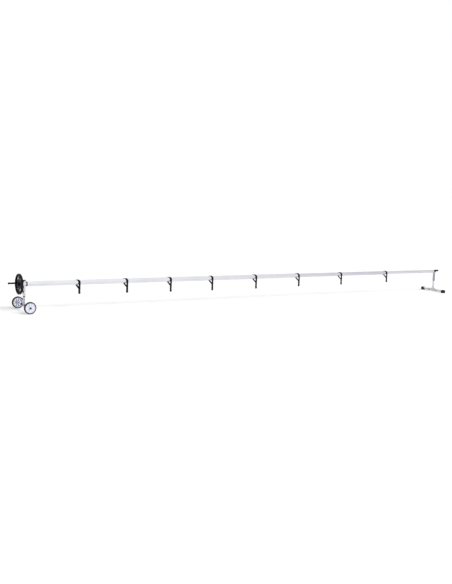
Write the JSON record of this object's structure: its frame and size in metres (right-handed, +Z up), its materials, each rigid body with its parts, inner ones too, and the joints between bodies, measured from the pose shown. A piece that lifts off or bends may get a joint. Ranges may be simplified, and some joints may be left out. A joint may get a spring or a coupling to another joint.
{
  "type": "pool cover reel",
  "caption": "Telescopic roller for a pool's solar cover, with a spoked handwheel and straps, on a wheeled stand and a foot stand.",
  "frame": {"origin": "on the ground, under the middle of the whole length", "axes": "+X along the roller from the handwheel to the foot stand, +Z up, the crank grip on the +Y side of the handwheel"},
  "size_m": [8.192, 0.605, 0.525],
  "materials": {
    "bright_aluminium": "bright anodised",
    "satin_aluminium": "satin anodised",
    "silver_paint": "pale silver paint",
    "zinc_steel": "zinc plated",
    "steel": "turned",
    "bolts": "zinc plated",
    "black_paint": "satin black paint",
    "black_plastic": "fine moulded grain",
    "white_nylon": "satin",
    "wheel_plastic": "satin",
    "tyre": "matt",
    "black_rubber": "matt",
    "webbing": "woven polypropylene"
  },
  "bodies": {
    "wheel_stand": {"post_sleeve": "satin_aluminium", "post_lower": "zinc_steel", "post_bush": "black_plastic", "post_cap": "black_plastic", "post_bolts": "bolts", "shaft_bushes": "white_nylon", "axle_tube": "black_paint", "axle_rod": "steel", "axle_tube_caps": "black_plastic", "axle_caps": "black_plastic"},
    "front_wheel": {"front_wheel_hub": "wheel_plastic", "front_wheel_tyre": "tyre", "front_wheel_bush": "black_plastic"},
    "rear_wheel": {"rear_wheel_hub": "wheel_plastic", "rear_wheel_tyre": "tyre", "rear_wheel_bush": "black_plastic"},
    "reel": {"handwheel": "black_plastic", "handwheel_cap": "black_plastic", "handwheel_nut": "bolts", "drive_shaft": "steel", "drive_collar": "black_plastic", "drive_plug": "white_nylon", "drive_screws": "bolts", "crank_bolt": "bolts", "outer_tube": "bright_aluminium", "outer_tube_bush": "white_nylon", "strap_1": "webbing", "strap_2": "webbing", "strap_3": "webbing", "strap_4": "webbing", "strap_5": "webbing", "strap_6": "webbing", "outer_strap_pads": "black_rubber", "outer_strap_clips": "black_plastic"},
    "crank": {"crank_grip": "black_rubber"},
    "middle_section": {"middle_tube": "bright_aluminium", "middle_guide_ring": "black_plastic", "middle_tube_bush": "white_nylon", "strap_7": "webbing", "strap_8": "webbing", "middle_strap_pads": "black_rubber", "middle_strap_clips": "black_plastic"},
    "inner_section": {"inner_tube": "bright_aluminium", "inner_guide_ring": "black_plastic", "foot_plug": "white_nylon", "foot_plug_screws": "bolts", "foot_shaft": "steel", "foot_shaft_ring": "steel"},
    "foot_stand": {"foot_shaft_bush": "black_plastic", "foot_post_sleeve": "satin_aluminium", "foot_post_bush": "black_plastic", "foot_post_cap": "black_plastic", "foot_post_bolts": "bolts", "foot_tee": "silver_paint", "foot_bar": "bright_aluminium", "foot_bar_bolts": "bolts", "rear_shoe": "black_rubber", "front_shoe": "black_rubber", "lift_rod": "black_plastic", "lift_grip": "black_rubber"}
  },
  "joints": [
    {"name": "reel_spin", "type": "hinge", "parent": "wheel_stand", "child": "reel", "pos_m": [-3.9015, 0, 0.38], "axis": [1, 0, 0], "continuous": true},
    {"name": "crank_grip_spin", "type": "hinge", "parent": "reel", "child": "crank", "pos_m": [-4.0015, 0.106, 0.38], "axis": [1, 0, 0], "continuous": true},
    {"name": "middle_slide", "type": "slide", "parent": "reel", "child": "middle_section", "axis": [1, 0, 0], "range_m": [-0.83, 0.5]},
    {"name": "inner_slide", "type": "slide", "parent": "middle_section", "child": "inner_section", "axis": [1, 0, 0], "range_m": [-1.08, 0.3]},
    {"name": "foot_stand_swivel", "type": "hinge", "parent": "inner_section", "child": "foot_stand", "pos_m": [3.9985, 0, 0.38], "axis": [1, 0, 0], "continuous": true},
    {"name": "front_wheel_roll", "type": "hinge", "parent": "wheel_stand", "child": "front_wheel", "pos_m": [-3.9015, -0.27, 0.084], "axis": [0, 1, 0], "continuous": true},
    {"name": "rear_wheel_roll", "type": "hinge", "parent": "wheel_stand", "child": "rear_wheel", "pos_m": [-3.9015, 0.27, 0.084], "axis": [0, 1, 0], "continuous": true}
  ],
  "couplings": [
    {"joint": "foot_stand_swivel", "follows": "reel_spin", "ratio": -1}
  ]
}
